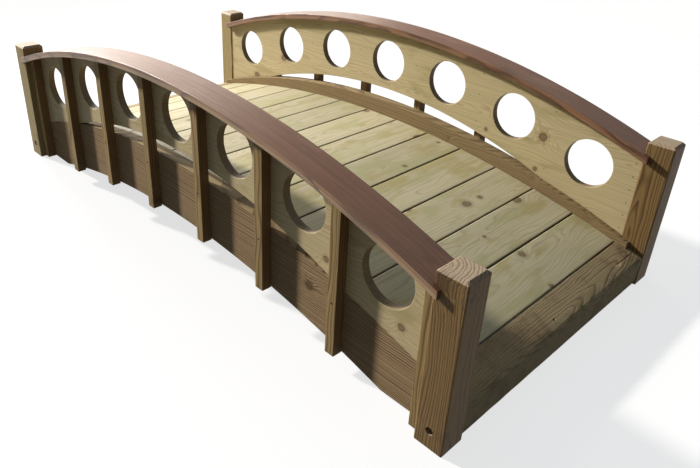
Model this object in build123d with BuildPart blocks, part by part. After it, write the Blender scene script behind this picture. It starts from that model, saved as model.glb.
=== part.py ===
from build123d import *
import os
from math import asin, cos, degrees, sin, sqrt

# A moon bridge: an arched garden footbridge with round holes in its side panels.
# X runs along the bridge, Y across it and Z up, in millimetres.
# The origin is on the ground, midway between the four corner posts.
# Front is the -Y side and right is the +X end.

# Corner posts
bridge_length = 2622
bridge_width = 1310
post_section = 95
post_height = 564
post_top_chamfer = 9
post_easing = 4
bolt_hole_radius = 12.5
bolt_hole_depth = 18
bolt_hole_height = 61

# Handrails
rail_crown = 730
rail_below_post_top = 48
rail_thickness = 25
rail_inner_overhang = 20
rail_outer_overhang = 13
rail_lap = 20

# Moon panels
panel_thickness = 30
panel_inset = 4
hole_top_margin = 45
hole_bottom_margin = 37
crescent_height = 57
crescent_reach = 850

# Stringers, whose upper edge stands above the deck as a kerb
stringer_lap = 20
stringer_crown = 376
stringer_end_height = 174
stringer_depth = 230
stringer_foot_length = 176
stringer_ground_gap = 6
kerb_end_lap = 33

# Side posts
side_post_count = 8
side_post_width = 38
side_post_depth = 38
side_post_drop = 5
side_post_ground_gap = 4

# Deck
deck_crown = 312
deck_end_height = 156
deck_end_inset = 115.5
deck_shift = 9
board_count = 13
board_gap = 5
board_thickness = 28
board_easing = 3
bearer_width = 45
bearer_height = 45

# End beams
end_beam_lean = 5
end_beam_fall = 34
end_beam_ground_gap = 12
end_beam_rounding = 20
end_clearance = 0.3

# Upright planes shared by the pieces, as distances from the middle of the bridge
post_outer_x = bridge_length / 2
post_centre_x = post_outer_x - post_section / 2
post_face_x = post_outer_x - post_section
post_outer_y = bridge_width / 2
post_centre_y = post_outer_y - post_section / 2
post_inner_y = post_outer_y - post_section
rail_inner_y = post_inner_y - rail_inner_overhang
rail_outer_y = post_outer_y + rail_outer_overhang
rail_end_x = post_face_x + rail_lap
panel_inner_y = post_inner_y + panel_inset
panel_outer_y = panel_inner_y + panel_thickness
kerb_y = post_inner_y - stringer_lap
kerb_end_x = post_face_x + kerb_end_lap
foot_x = post_face_x - stringer_foot_length
deck_end_x = post_outer_x - deck_end_inset


def arch(crown, end_height, reach):
    """Arc over the middle of the bridge, kept as the height of its crown and its radius."""
    rise = crown - end_height
    return crown, (reach**2 + rise**2) / (2 * rise)


def parallel(arc, offset):
    """Arc about the same centre, raised by an offset."""
    crown, radius = arc
    return crown + offset, radius + offset


def point_on(arc, x):
    """Point of an arc at x, in the plane of a sketch."""
    crown, radius = arc
    return (x, crown - radius + sqrt(radius**2 - x**2))


def height_on(arc, x):
    """Height of an arc at x."""
    return point_on(arc, x)[1]


# Arcs seen from the side
rail_top = arch(rail_crown, post_height - rail_below_post_top, post_face_x)
rail_under = parallel(rail_top, -rail_thickness)
stringer_top = arch(stringer_crown, stringer_end_height, post_face_x)
stringer_under = arch(stringer_crown - stringer_depth, stringer_ground_gap, foot_x)
deck_top = arch(deck_crown, deck_end_height, deck_end_x)
deck_radius = deck_top[1]

# The holes fill the panel's height at mid-span but for their margins, on an arc along the rail
crescent_crown = stringer_crown + crescent_height
hole_radius = (rail_under[0] - hole_top_margin - hole_bottom_margin - crescent_crown) / 2
hole_line = parallel(rail_under, -hole_top_margin - hole_radius)

# The bays lie between the side posts, whose outermost pair stands against the corner posts
bay_count = side_post_count - 1
side_post_reach = post_face_x - side_post_width / 2
bay_width = 2 * side_post_reach / bay_count

# The boards share the deck's arc between the two end beams
board_pitch = 2 * asin(deck_end_x / deck_radius) * deck_radius / board_count

# Front pieces are drawn with this sign, back pieces with its opposite
sides = {"front": 1, "back": -1}
ends = {"left": -1, "right": 1}


def finish(piece, name):
    """Label a finished piece and write it."""
    piece.label = name
    export_step(piece, f"parts/{name}.step")


def joint_angle(joint):
    """Angle of a joint between boards about the deck's centre, counted from the left end."""
    return ((joint - board_count / 2) * board_pitch + deck_shift) / deck_radius


def corner_post(side, end):
    """Square post with a chamfered top and a bolt hole low on its outer face."""
    with BuildPart() as post:
        with BuildSketch():
            with Locations((end * post_centre_x, -side * post_centre_y)):
                Rectangle(post_section, post_section)
        extrude(amount=post_height)
        chamfer(post.faces().sort_by(Axis.Z)[-1].edges(), length=post_top_chamfer)
        fillet(post.edges().filter_by(Axis.Z), radius=post_easing)
        with BuildSketch(Plane.XZ.offset(side * post_outer_y)):
            with Locations((end * post_centre_x, bolt_hole_height)):
                Circle(bolt_hole_radius)
        extrude(amount=-side * bolt_hole_depth, mode=Mode.SUBTRACT)
    return post.part


def handrail(side):
    """Arched rail, notched at both ends round the corner posts."""
    with BuildPart() as rail:
        with BuildSketch(Plane.XZ.offset(side * rail_inner_y)):
            with BuildLine():
                top = ThreePointArc(
                    point_on(rail_top, -rail_end_x),
                    point_on(rail_top, 0),
                    point_on(rail_top, rail_end_x),
                )
                under = ThreePointArc(
                    point_on(rail_under, -rail_end_x),
                    point_on(rail_under, 0),
                    point_on(rail_under, rail_end_x),
                )
                Line(top @ 0, under @ 0)
                Line(top @ 1, under @ 1)
            make_face()
        extrude(amount=side * (rail_outer_y - rail_inner_y))
        with BuildSketch():
            with Locations((-post_centre_x, -side * post_centre_y), (post_centre_x, -side * post_centre_y)):
                Rectangle(post_section, post_section)
        extrude(amount=rail_crown, mode=Mode.SUBTRACT)
    return rail.part


def moon_panel(side):
    """Panel between rail and stringer, with a hole in each bay and a crescent gap below."""
    seat_middle = (post_face_x + crescent_reach) / 2
    with BuildPart() as panel:
        with BuildSketch(Plane.XZ.offset(side * panel_inner_y)):
            with BuildLine():
                top = ThreePointArc(
                    point_on(rail_under, -post_face_x),
                    point_on(rail_under, 0),
                    point_on(rail_under, post_face_x),
                )
                left = Line(top @ 0, point_on(stringer_top, -post_face_x))
                right = Line(top @ 1, point_on(stringer_top, post_face_x))
                left_seat = ThreePointArc(
                    left @ 1,
                    point_on(stringer_top, -seat_middle),
                    point_on(stringer_top, -crescent_reach),
                )
                right_seat = ThreePointArc(
                    right @ 1,
                    point_on(stringer_top, seat_middle),
                    point_on(stringer_top, crescent_reach),
                )
                ThreePointArc(left_seat @ 1, (0, crescent_crown), right_seat @ 1)
            make_face()
            for bay in range(bay_count):
                bay_x = (bay + 0.5) * bay_width - side_post_reach
                with Locations(point_on(hole_line, bay_x)):
                    Circle(hole_radius, mode=Mode.SUBTRACT)
        extrude(amount=side * panel_thickness)
    return panel.part


def stringer(side):
    """Arched beam with level feet, whose inner part laps past the corner posts."""
    with BuildPart() as beam:
        with BuildSketch(Plane.XZ.offset(side * kerb_y)):
            with BuildLine():
                top = ThreePointArc(
                    point_on(stringer_top, -kerb_end_x),
                    point_on(stringer_top, 0),
                    point_on(stringer_top, kerb_end_x),
                )
                under = ThreePointArc(
                    point_on(stringer_under, -foot_x),
                    point_on(stringer_under, 0),
                    point_on(stringer_under, foot_x),
                )
                Polyline(top @ 0, (-kerb_end_x, stringer_ground_gap), under @ 0)
                Polyline(top @ 1, (kerb_end_x, stringer_ground_gap), under @ 1)
            make_face()
        extrude(amount=side * (panel_outer_y - kerb_y))
        with BuildSketch():
            with Locations((-post_centre_x, -side * post_centre_y), (post_centre_x, -side * post_centre_y)):
                Rectangle(post_section, post_section)
        extrude(amount=post_height, mode=Mode.SUBTRACT)
    return beam.part


def side_post(side, x):
    """Upright from just below the stringer's lower edge to the rail."""
    left_x = x - side_post_width / 2
    right_x = x + side_post_width / 2
    low = side_post_ground_gap
    if abs(x) < foot_x:
        low = max(low, height_on(stringer_under, x) - side_post_drop)
    with BuildPart() as upright:
        with BuildSketch(Plane.XZ.offset(side * panel_outer_y)):
            with BuildLine():
                Polyline(
                    (left_x, low),
                    (right_x, low),
                    point_on(rail_under, right_x),
                    point_on(rail_under, left_x),
                    close=True,
                )
            make_face()
        extrude(amount=side * side_post_depth)
    return upright.part


def deck_board(index):
    """Flat board laid square to the deck's arc, between two joints."""
    angle = (joint_angle(index) + joint_angle(index + 1)) / 2
    middle = point_on(deck_top, deck_radius * sin(angle))
    with BuildPart() as board:
        with BuildSketch(Plane.XZ):
            with Locations(middle):
                Rectangle(
                    board_pitch - board_gap,
                    board_thickness,
                    rotation=-degrees(angle),
                    align=(Align.CENTER, Align.MAX),
                )
        extrude(amount=kerb_y - end_clearance, both=True)
        fillet(board.edges().filter_by(Axis.Y), radius=board_easing)
    return board.part


def deck_bearer(side):
    """Strip inside the stringer, faceted so that every board lies flat on it."""
    centre_z = deck_crown - deck_radius
    knuckle_radius = (deck_radius - board_thickness) / cos(board_pitch / deck_radius / 2)
    angles = [joint_angle(joint) for joint in range(board_count + 1)]
    seat = [(knuckle_radius * sin(angle), centre_z + knuckle_radius * cos(angle)) for angle in angles]
    under = [(x, z - bearer_height) for x, z in reversed(seat)]
    with BuildPart() as bearer:
        with BuildSketch(Plane.XZ.offset(side * (kerb_y - bearer_width))):
            with BuildLine():
                Polyline(*seat, *under, close=True)
            make_face()
        extrude(amount=side * bearer_width)
    return bearer.part


def end_beam(end):
    """Thick beam that closes the deck, notched round the ends of the kerbs."""
    last_joint = joint_angle(0 if end < 0 else board_count)
    back_x = deck_radius * sin(last_joint) + end * board_gap / 2
    back_top = height_on(deck_top, back_x)
    notch_length = kerb_end_x + end_clearance
    notch_width = stringer_lap + end_clearance
    notch_x = end * notch_length / 2
    notch_y = post_inner_y - notch_width / 2
    with BuildPart() as beam:
        with BuildSketch(Plane.XZ):
            with BuildLine():
                Polyline(
                    (back_x, end_beam_ground_gap),
                    (end * (post_outer_x - end_beam_lean), end_beam_ground_gap),
                    (end * post_outer_x, back_top - end_beam_fall),
                    (back_x, back_top),
                    close=True,
                )
            make_face()
        extrude(amount=post_inner_y - end_clearance, both=True)
        cross_edges = beam.edges().filter_by(Axis.Y).sort_by(Axis.X)
        front_edges = cross_edges[-2:] if end > 0 else cross_edges[:2]
        fillet(front_edges.sort_by(Axis.Z)[-1], radius=end_beam_rounding)
        with BuildSketch():
            with Locations((notch_x, notch_y), (notch_x, -notch_y)):
                Rectangle(notch_length, notch_width)
        extrude(amount=post_height, mode=Mode.SUBTRACT)
    return beam.part


os.makedirs("parts", exist_ok=True)

for side_name, side_sign in sides.items():
    for end_name, end_sign in ends.items():
        finish(corner_post(side_sign, end_sign), f"corner_post_{side_name}_{end_name}")
    finish(handrail(side_sign), f"handrail_{side_name}")
    finish(moon_panel(side_sign), f"moon_panel_{side_name}")
    finish(stringer(side_sign), f"stringer_{side_name}")
    finish(deck_bearer(side_sign), f"deck_bearer_{side_name}")
    for number in range(side_post_count):
        post_x = number * bay_width - side_post_reach
        finish(side_post(side_sign, post_x), f"side_post_{side_name}_{number + 1}")

for number in range(board_count):
    finish(deck_board(number), f"deck_board_{number + 1:02d}")

for end_name, end_sign in ends.items():
    finish(end_beam(end_sign), f"end_beam_{end_name}")
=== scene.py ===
import random
from math import asin, cos, radians, sin, sqrt

import bmesh
import bpy
from bpy.props import FloatProperty, FloatVectorProperty, PointerProperty
from mathutils import Matrix, Vector, noise


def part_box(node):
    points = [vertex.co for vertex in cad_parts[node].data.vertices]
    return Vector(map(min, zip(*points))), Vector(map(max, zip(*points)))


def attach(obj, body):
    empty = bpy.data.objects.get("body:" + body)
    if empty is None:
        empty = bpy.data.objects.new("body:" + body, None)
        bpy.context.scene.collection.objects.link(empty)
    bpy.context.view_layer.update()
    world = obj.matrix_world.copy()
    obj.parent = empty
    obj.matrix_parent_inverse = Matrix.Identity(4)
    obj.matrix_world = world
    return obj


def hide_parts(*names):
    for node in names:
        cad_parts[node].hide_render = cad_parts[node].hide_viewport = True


bl_info = {
    "name": "Moon Bridge",
    "version": (1, 0, 0),
    "blender": (4, 5, 0),
    "location": "3D View > Sidebar > Bridge",
    "description": "Arched timber garden bridge with moon holes, built round its fixed frame",
    "category": "Add Mesh",
}

# Everything is in metres. X runs along the bridge, Y across it, and the front is the -Y side.
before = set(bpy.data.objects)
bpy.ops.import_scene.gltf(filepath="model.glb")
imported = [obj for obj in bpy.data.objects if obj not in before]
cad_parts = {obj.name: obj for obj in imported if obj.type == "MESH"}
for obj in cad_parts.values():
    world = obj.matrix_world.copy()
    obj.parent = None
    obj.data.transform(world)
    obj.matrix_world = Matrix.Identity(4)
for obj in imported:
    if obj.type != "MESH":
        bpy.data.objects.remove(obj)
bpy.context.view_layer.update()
post_low, post_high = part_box("corner_post_back_right")
rail_low, rail_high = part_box("handrail_back")
panel_low, panel_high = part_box("moon_panel_back")
beam_low, beam_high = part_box("stringer_back")
upright_low, upright_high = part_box("side_post_back_8")
bearer_low, bearer_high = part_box("deck_bearer_back")
end_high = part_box("end_beam_right")[1]

SIDES = {"front": -1, "back": 1}
ENDS = {"left": -1, "right": 1}
BOARD_COUNT = sum(node.startswith("deck_board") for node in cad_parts)
UPRIGHT_COUNT = sum(node.startswith("side_post_back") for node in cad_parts)

# Two values closer than this count as one
HAIR = 1e-4


def length(name, description, default):
    """Length property in metres."""
    return FloatProperty(name=name, description=description, default=default, min=0, unit="LENGTH")


def colour(name, description, default):
    """Colour property, as linear red, green and blue."""
    return FloatVectorProperty(
        name=name, description=description, default=default, min=0, max=1, size=3, subtype="COLOR"
    )


class BridgeSizes(bpy.types.PropertyGroup):
    """Sizes that the frame's boxes don't give."""

    rail_thickness: length("Rail thickness", "Height of the handrail's section", 0.025)
    hole_radius: length("Hole radius", "Radius of the moon holes", 0.095)
    hole_margin: length("Hole margin", "Wood between a hole and the handrail", 0.045)
    crescent_height: length("Crescent height", "Gap under the panel at mid-span", 0.057)
    crescent_reach: length("Crescent reach", "Half the length of the gap under the panel", 0.85)
    beam_depth: length("Stringer depth", "Depth of the stringer at mid-span", 0.23)
    foot_length: length("Foot length", "Level underside of the stringer at each end", 0.176)
    deck_crown: length("Deck crown", "Height of the deck at mid-span", 0.312)
    deck_end_height: length("Deck end height", "Height of the deck at its ends", 0.156)
    deck_end_inset: length("Deck end inset", "Length of bridge left to the end beam", 0.1155)
    deck_shift: length("Deck shift", "Shift of the joints towards the right end", 0.009)
    board_gap: length("Board gap", "Gap between deck boards", 0.005)
    board_thickness: length("Board thickness", "Thickness of a deck board", 0.028)
    board_easing: length("Board easing", "Rounding of a deck board's edges", 0.0045)
    bolt_height: length("Bolt height", "Height of the bolt hole in a corner post", 0.061)
    bolt_hole_radius: length("Bolt hole radius", "Radius of the bolt hole", 0.0125)
    bolt_hole_depth: length("Bolt hole depth", "Depth of the bolt hole", 0.018)
    arris: length("Arris", "Easing of the sawn edges", 0.0016)


class BridgeColours(bpy.types.PropertyGroup):
    """Colours of the timbers and fixings."""

    deck_pale: colour("Deck, pale", "Early wood of the deck boards", (0.46, 0.405, 0.26))
    deck_dark: colour("Deck, dark", "Late wood of the deck boards", (0.2, 0.14, 0.06))
    deck_ochre: colour("Deck, ochre", "Resinous and weathered patches", (0.35, 0.29, 0.125))
    deck_green: colour("Deck, green", "Patches where the treatment shows", (0.36, 0.335, 0.17))
    panel_pale: colour("Panel, pale", "Early wood of the moon panels", (0.54, 0.445, 0.25))
    panel_dark: colour("Panel, dark", "Late wood of the moon panels", (0.32, 0.19, 0.075))
    beam_pale: colour("Stringer, pale", "Early wood of the stringers", (0.375, 0.262, 0.145))
    beam_dark: colour("Stringer, dark", "Late wood of the stringers", (0.085, 0.045, 0.022))
    rail_pale: colour("Rail, pale", "Early wood of the stained handrails", (0.26, 0.12, 0.062))
    rail_dark: colour("Rail, dark", "Late wood of the stained handrails", (0.04, 0.016, 0.01))
    rail_worn: colour("Rail, worn", "Patches where the stain wears thin", (0.3, 0.165, 0.105))
    rail_edge: colour("Rail, edge", "Edges of the handrails, less stained", (0.52, 0.35, 0.19))
    post_pale: colour("Post, pale", "Early wood of the corner posts", (0.25, 0.153, 0.056))
    # Painted light: this pale olive on the left end's posts stands for the brighter light at that
    # end.
    post_olive: colour("Post, olive", "Greener wood of the left end's posts", (0.40, 0.34, 0.16))
    post_dark: colour("Post, dark", "Late wood of the corner posts", (0.06, 0.028, 0.011))
    upright_pale: colour("Side post, pale", "Early wood of the side posts", (0.37, 0.257, 0.108))
    upright_dark: colour("Side post, dark", "Late wood of the side posts", (0.085, 0.036, 0.014))
    end_pale: colour("End beam, pale", "Weathered wood of the end beams", (0.43, 0.33, 0.185))
    end_dark: colour("End beam, dark", "Stained grain of the end beams", (0.12, 0.078, 0.04))
    moss: colour("Moss", "Moss on the worn edge of the end beams", (0.25, 0.225, 0.055))
    beam_inner: colour("Kerb, inner", "Inner face and top of the stringers", (0.26, 0.185, 0.088))
    end_grain: colour("End grain", "Tops of the corner posts", (0.37, 0.285, 0.2))
    knot: colour("Knot", "Heart of a knot", (0.088, 0.052, 0.02))
    check: colour("Drying check", "Inside of a drying check", (0.02, 0.012, 0.007))
    steel: colour("Steel", "Oxidised steel of the fixings", (0.06, 0.05, 0.042))
    rust: colour("Rust", "Rust on the fixings", (0.10, 0.045, 0.02))


class Arc:
    """Arc over the middle of the bridge, as the height of its crown and its radius."""

    def __init__(self, crown, radius):
        self.crown = crown
        self.radius = radius

    @classmethod
    def over(cls, crown, end_height, reach):
        """Arc that comes down from its crown to a height at a reach."""
        rise = crown - end_height
        return cls(crown, (reach**2 + rise**2) / (2 * rise))

    def height(self, x):
        """Height of the arc at x."""
        return self.crown - self.radius + sqrt(self.radius**2 - x**2)

    def raised(self, offset):
        """Arc about the same centre, raised by an offset."""
        return Arc(self.crown + offset, self.radius + offset)

    def run(self, x):
        """Length along the arc from the middle to x."""
        return self.radius * asin(x / self.radius)


class BridgeLines:
    """Arcs and joints of the bridge, from the frame's boxes and the sizes."""

    def __init__(self, sizes):
        face_x = panel_high.x
        self.face_x = face_x
        self.foot_x = face_x - sizes.foot_length
        self.rail_under = Arc.over(rail_high.z - sizes.rail_thickness, rail_low.z, rail_high.x)
        self.rail_top = self.rail_under.raised(sizes.rail_thickness)
        self.beam_top = Arc.over(beam_high.z, panel_low.z, face_x)
        self.beam_under = Arc.over(beam_high.z - sizes.beam_depth, beam_low.z, self.foot_x)
        seat = self.beam_top.height(sizes.crescent_reach)
        self.crescent = Arc.over(beam_high.z + sizes.crescent_height, seat, sizes.crescent_reach)
        self.holes = self.rail_under.raised(-sizes.hole_margin - sizes.hole_radius)
        deck_end_x = post_high.x - sizes.deck_end_inset
        self.deck = Arc.over(sizes.deck_crown, sizes.deck_end_height, deck_end_x)
        self.pitch = 2 * self.deck.run(deck_end_x) / BOARD_COUNT
        upright_x = (upright_low.x + upright_high.x) / 2
        self.bay = 2 * upright_x / (UPRIGHT_COUNT - 1)
        self.upright_xs = [number * self.bay - upright_x for number in range(UPRIGHT_COUNT)]
        self.deck_shift = sizes.deck_shift

    def joint_angle(self, joint):
        """Angle of a joint between boards about the deck's centre."""
        return ((joint - BOARD_COUNT / 2) * self.pitch + self.deck_shift) / self.deck.radius

    def on_deck(self, angle, offset):
        """Point at an angle about the deck's centre, raised square to the deck."""
        radius = self.deck.radius + offset
        return radius * sin(angle), self.deck.crown - self.deck.radius + radius * cos(angle)

    def beam_low(self, x):
        """Underside of a stringer, level at its feet."""
        return beam_low.z if abs(x) >= self.foot_x else self.beam_under.height(x)

    def panel_low(self, x):
        """Lower edge of a moon panel, raised over the crescent gap."""
        return max(self.beam_top.height(x), self.crescent.height(x))


def steps(start, end, count):
    """Values from start to end in equal steps."""
    return [start + (end - start) * step / count for step in range(count + 1)]


def with_marks(values, marks, room=0.004):
    """Values with some marks put in, and what stands within the marks' room left out."""
    kept = [value for value in values if all(abs(value - mark) > room for mark in marks)]
    return sorted(kept + marks)


# Mesh work


def only(kind, geometry):
    """Elements of one kind from an operator's result."""
    return [element for element in geometry if isinstance(element, kind)]


def unique(elements):
    """Elements without repeats, in their first order."""
    return list(dict.fromkeys(elements))


def turn_outward(bm):
    """Point every face outwards."""
    bmesh.ops.recalc_face_normals(bm, faces=bm.faces)


def grow(bm, faces):
    """Extrude faces, and return the new faces and the new points."""
    edges = unique(edge for face in faces for edge in face.edges)
    verts = unique(vert for face in faces for vert in face.verts)
    made = bmesh.ops.extrude_face_region(bm, geom=faces + edges + verts)["geom"]
    return only(bmesh.types.BMFace, made), only(bmesh.types.BMVert, made)


def arched_slab(columns, low, high, layers, rows=(0, 1)):
    """Closed slab between two lines over X, laid up in layers along Y."""
    bm = bmesh.new()
    bmesh.ops.create_grid(bm, x_segments=len(columns) - 1, y_segments=len(rows) - 1, size=1)
    for vert in bm.verts:
        x = columns[round((vert.co.x + 1) / 2 * (len(columns) - 1))]
        row = rows[round((vert.co.y + 1) / 2 * (len(rows) - 1))]
        vert.co = (x, layers[0], low(x) + row * (high(x) - low(x)))
    faces = bm.faces[:]
    for layer in layers[1:]:
        faces, verts = grow(bm, faces)
        for vert in verts:
            vert.co.y = layer
    turn_outward(bm)
    return bm


def push_ends(bm, x, new_x, between, low, high):
    """Lengthen both ends of a slab, where its faces lie between two planes across Y."""
    for end in ENDS.values():
        ends = [
            face
            for face in bm.faces
            if abs(face.normal.x) > 0.9
            and abs(face.calc_center_median().x - end * x) < HAIR
            and between[0] < face.calc_center_median().y < between[1]
        ]
        for vert in grow(bm, ends)[1]:
            row = (vert.co.z - low(x)) / (high(x) - low(x))
            vert.co.x = end * new_x
            vert.co.z = low(new_x) + row * (high(new_x) - low(new_x))
    turn_outward(bm)


def sharp_edges(bm, sharper):
    """Edges whose faces turn by more than an angle in degrees."""
    bm.normal_update()
    return [
        edge
        for edge in bm.edges
        if len(edge.link_faces) == 2 and edge.calc_face_angle() > radians(sharper)
    ]


def ease(bm, width, segments=2, sharper=30):
    """Round the sharp edges of a timber."""
    bevel(bm, sharp_edges(bm, sharper), width, segments)


def bevel(bm, edges, width, segments):
    """Bevel some edges: one segment chamfers them, and more round them."""
    bmesh.ops.bevel(
        bm,
        geom=edges,
        offset=width,
        offset_type="OFFSET",
        affect="EDGES",
        segments=segments,
        profile=0.5,
        material=-1,
        clamp_overlap=True,
    )


def nearest(faces, spot):
    """Face whose middle is nearest to a spot."""
    return min(faces, key=lambda face: (face.calc_center_median() - spot).length)


def square_to(spot, axis):
    """Place at a spot, with its Z along an axis."""
    turn = Vector((0, 0, 1)).rotation_difference(axis).to_matrix().to_4x4()
    return Matrix.Translation(spot) @ turn


def pierce(bm, face, radius, place):
    """Open a round hole in a face, and return the edges of its mouth."""
    rim = face.edges[:]
    bmesh.ops.delete(bm, geom=[face], context="FACES_ONLY")
    ring = bmesh.ops.create_circle(bm, segments=len(rim), radius=radius, matrix=place)["verts"]
    mouth = unique(edge for vert in ring for edge in vert.link_edges)
    bmesh.ops.bridge_loops(bm, edges=rim + mouth)
    return mouth


def bore(bm, face, centre, radius, depth, axis, sides=8):
    """Bore a blind hole into a four-sided face, and return its bottom."""
    bmesh.ops.bisect_edges(bm, edges=face.edges[:], cuts=sides - 1)
    mouth = pierce(bm, face, radius, square_to(centre, axis))
    walls = bmesh.ops.extrude_edge_only(bm, edges=mouth)["geom"]
    deep = only(bmesh.types.BMVert, walls)
    bmesh.ops.translate(bm, verts=deep, vec=-depth * axis)
    bottom = bmesh.ops.contextual_create(bm, geom=only(bmesh.types.BMEdge, walls))["faces"][0]
    turn_outward(bm)
    return bottom


def across_front(bm, side):
    """Mirror a timber made on the back to the front of the bridge."""
    if side < 0:
        bmesh.ops.scale(bm, verts=bm.verts, vec=(1, side, 1))
        bmesh.ops.reverse_faces(bm, faces=bm.faces)


def handle(bm, node, amount=0.0004, size=9):
    """Take the machined look off a timber, inside its box."""
    low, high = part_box(node)
    for vert in bm.verts:
        vert.co += amount * noise.noise_vector(size * vert.co)
        for axis in range(3):
            vert.co[axis] = min(max(vert.co[axis], low[axis]), high[axis])


def lay_grain(bm, in_log, tone):
    """Keep each point's place in its log: along the grain, across it and through it."""
    grain = bm.verts.layers.float_vector.new("grain")
    tones = bm.verts.layers.float.new("tone")
    for vert in bm.verts:
        vert[grain] = in_log(vert.co)
        vert[tones] = tone


def add_piece(bm, name, materials, node=None):
    """Make the finished piece, which rides on the bridge's one body."""
    mesh = bpy.data.meshes.new(name)
    bm.to_mesh(mesh)
    bm.free()
    mesh.shade_smooth()
    mesh.set_sharp_from_angle(angle=radians(50))
    piece = bpy.data.objects.new(name, mesh)
    shade = piece.modifiers.new("flat_faces_stay_flat", "WEIGHTED_NORMAL")
    shade.keep_sharp = True
    bpy.context.scene.collection.objects.link(piece)
    for material in materials:
        mesh.materials.append(material)
    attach(piece, "root")
    if node:
        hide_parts(node)


def add_timber(context, bm, node, finishes, in_log, tone=0.0):
    """Lay the grain in a timber and let it take its node's place."""
    lay_grain(bm, in_log, tone)
    materials = [finish_of(context, name) for name in finishes]
    add_piece(bm, f"{node}_timber", materials, node)


# Materials


def arithmetic(operation):
    """One Math operation between wires, and its reflected form."""

    def plain(self, other):
        return self.surface.math(operation, self, other)

    def reflected(self, other):
        return self.surface.math(operation, other, self)

    return plain, reflected


class Wire:
    """Socket whose arithmetic adds Math nodes to its material."""

    __add__, __radd__ = arithmetic("ADD")
    __sub__, __rsub__ = arithmetic("SUBTRACT")
    __mul__, __rmul__ = arithmetic("MULTIPLY")
    __truediv__, __rtruediv__ = arithmetic("DIVIDE")

    def __init__(self, surface, socket):
        self.surface = surface
        self.socket = socket

    def math(self, operation, *others):
        """One Math operation on this value, such as its sine."""
        return self.surface.math(operation, self, *others)


class Made:
    """Outputs of a new node, by name or number."""

    def __init__(self, surface, made):
        self.surface = surface
        self.made = made

    def __getitem__(self, key):
        return Wire(self.surface, self.made.outputs[key])


class Surface:
    """Material or world whose nodes all come from one method."""

    def __init__(self, owner):
        owner.use_nodes = True
        self.tree = owner.node_tree
        self.tree.nodes.clear()

    def node(self, kind, settings=None, inputs=None):
        """Add a node: its settings are set first, then its sockets are filled or linked."""
        made = self.tree.nodes.new(kind)
        for key, value in (settings or {}).items():
            setattr(made, key, value)
        for key, value in (inputs or {}).items():
            if isinstance(value, Wire):
                self.tree.links.new(value.socket, made.inputs[key])
            else:
                made.inputs[key].default_value = value
        return Made(self, made)

    def math(self, operation, *values):
        """Math node of one operation."""
        return self.node("ShaderNodeMath", {"operation": operation}, dict(enumerate(values)))[0]

    def point(self, x, y, z=0.0):
        """Vector from three values."""
        return self.node("ShaderNodeCombineXYZ", None, {"X": x, "Y": y, "Z": z})[0]

    def parts(self, vector):
        """X, Y and Z of a vector."""
        made = self.node("ShaderNodeSeparateXYZ", None, {0: vector})
        return made[0], made[1], made[2]

    def place(self):
        """Place on the bridge."""
        return self.node("ShaderNodeTexCoord")["Object"]

    def facing(self):
        """X, Y and Z of the direction that the surface faces."""
        return self.parts(self.node("ShaderNodeNewGeometry")["Normal"])

    def cloud(self, vector, scale=1.0, detail=2.0, roughness=0.5):
        """Smooth noise from 0 to 1."""
        inputs = {"Vector": vector, "Scale": scale, "Detail": detail, "Roughness": roughness}
        return self.node("ShaderNodeTexNoise", None, inputs)[0]

    def rise(self, value, start, end):
        """Smooth step from 0 at start to 1 at end."""
        settings = {"interpolation_type": "SMOOTHSTEP"}
        inputs = {"Value": value, "From Min": start, "From Max": end}
        return self.node("ShaderNodeMapRange", settings, inputs)[0]

    def blend(self, first, second, factor):
        """Colour between two colours."""
        settings = {"data_type": "RGBA", "clamp_factor": True}
        inputs = {0: factor, 6: opaque(first), 7: opaque(second)}
        return self.node("ShaderNodeMix", settings, inputs)[2]

    def scaled(self, vector, factor):
        """Vector or colour times a value."""
        settings = {"operation": "SCALE"}
        return self.node("ShaderNodeVectorMath", settings, {0: vector, "Scale": factor})[0]

    def spread(self, first, second):
        """Distance between two points."""
        settings = {"operation": "DISTANCE"}
        return self.node("ShaderNodeVectorMath", settings, {0: first, 1: second})["Value"]

    def show(self, **inputs):
        """End in a Principled shader with these inputs."""
        named = {key.replace("_", " "): value for key, value in inputs.items()}
        shader = self.node("ShaderNodeBsdfPrincipled", None, named)[0]
        self.node("ShaderNodeOutputMaterial", None, {"Surface": shader})


def opaque(value):
    """Colour with its alpha, or a wire as it is."""
    return value if isinstance(value, Wire) else (*value, 1.0)


def new_surface(name):
    """Material with an empty node tree."""
    material = bpy.data.materials.new(name)
    return material, Surface(material)


# A timber's look, where the timber itself names no other
PLAIN_LOOK = {
    "line_start": 0.4, "contrast": 0.75, "fibre": 0.3, "streak": 0.2, "streak_scale": 120,
    "uneven": 0.5, "patches": {}, "blotches": 0.6, "knots": (), "knot_share": 0.2, "checks": 0.0,
    "ridge": 0.25, "bump": 0.35, "roughness": 0.62, "shine": 0.35,
}

# Parts of a knot of middle size, each as the distances at which it starts to show and is full
KNOT_HALO = (0.026, 0.008)
KNOT_HEART = (0.0105, 0.009)
KNOT_RIM_OUTSIDE = (0.0122, 0.0106)
KNOT_RIM_INSIDE = (0.0082, 0.0098)
KNOT_RING_RATE = 2200
# Spacing of the knots that the photograph doesn't place
KNOT_GAP = 0.17

# Shares of a ring between which its late wood is full
LATE_WOOD_FULL = (0.88, 0.92)
# How many rings knots and uneven growth push the lines aside, and how fast that changes
KNOT_SWIRL = (2.6, -1300)
UNEVEN_GROWTH = (2.2, 42)

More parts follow.
